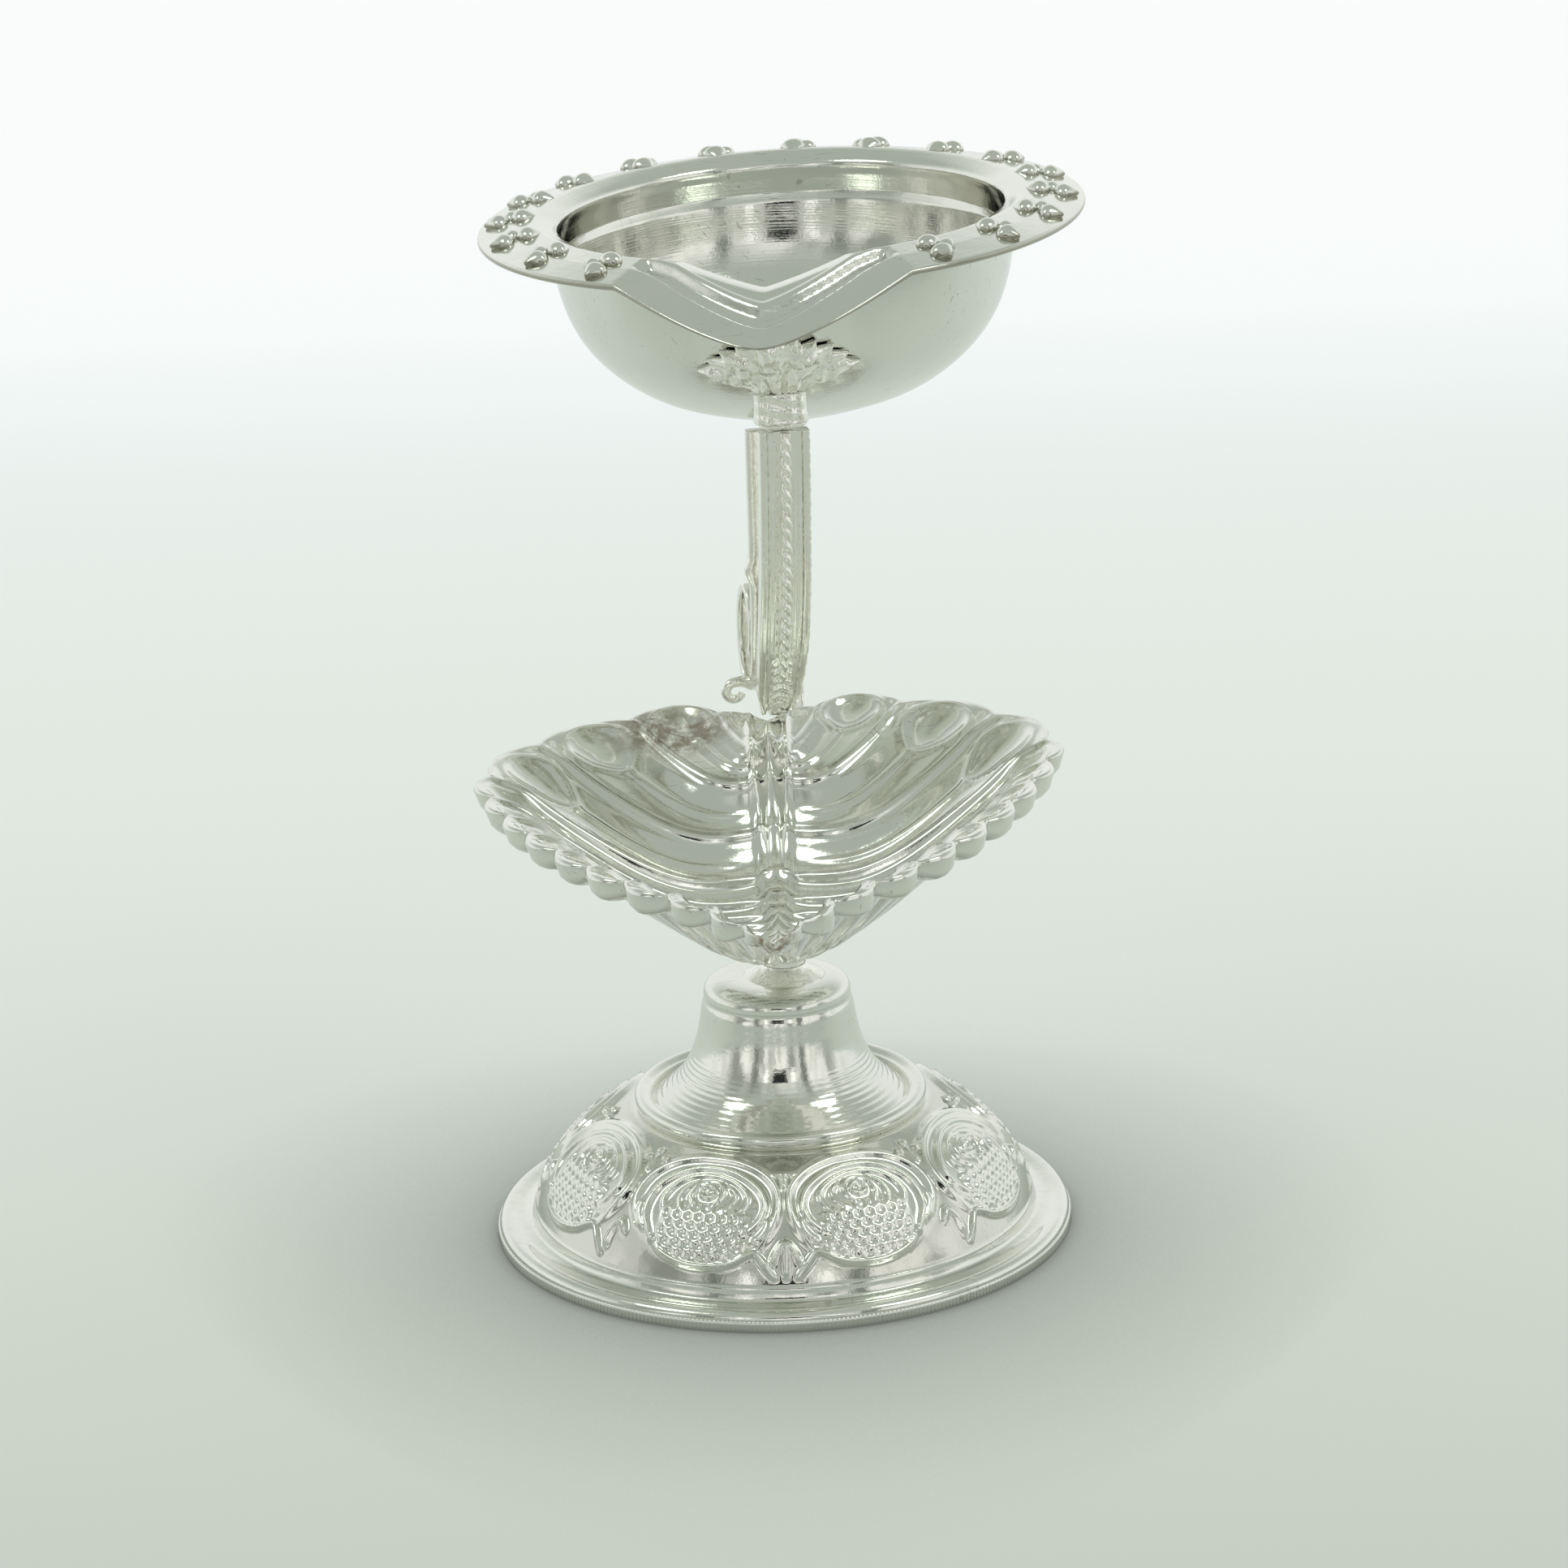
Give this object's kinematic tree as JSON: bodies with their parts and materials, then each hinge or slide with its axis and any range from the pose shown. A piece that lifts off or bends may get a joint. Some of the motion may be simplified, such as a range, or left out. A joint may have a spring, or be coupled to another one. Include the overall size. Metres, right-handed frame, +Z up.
{
  "type": "two-tier standing oil lamp",
  "caption": "Footed silver oil lamp with a fluted leaf dish and a lipped round bowl held above it on a scroll stem.",
  "frame": {"origin": "middle of the plan box of the whole lamp, on the surface that it stands on", "axes": "+Z up; -Y is the front, where the leaf's tip and the bowl's lip point; +X to the right seen from the front"},
  "size_m": [0.0654, 0.1138, 0.1034],
  "materials": {
    "pressed_silver": "polished pressed silver, slightly tarnished in the hollows of the relief",
    "spun_silver": "bright spun silver with fine lathe lines and small pits",
    "cast_silver": "cast silver, satin in the hollows and worn bright on the edges",
    "solder": "lumpy silver solder, matt and a little grey"
  },
  "bodies": {
    "root": {"foot": "pressed_silver", "bell_ring": "cast_silver", "bell": "spun_silver", "neck_post": "cast_silver", "neck_solder_lower": "solder", "neck_solder_upper": "solder", "leaf_dish": "pressed_silver", "stem_band": "cast_silver", "stem_rope": "cast_silver", "stem_back_scroll": "cast_silver", "stem_leg": "cast_silver", "stem_curl": "cast_silver", "stem_head_solder": "solder", "upper_bowl": "spun_silver", "bowl_spray": "cast_silver", "bowl_socket": "cast_silver"}
  },
  "joints": []
}
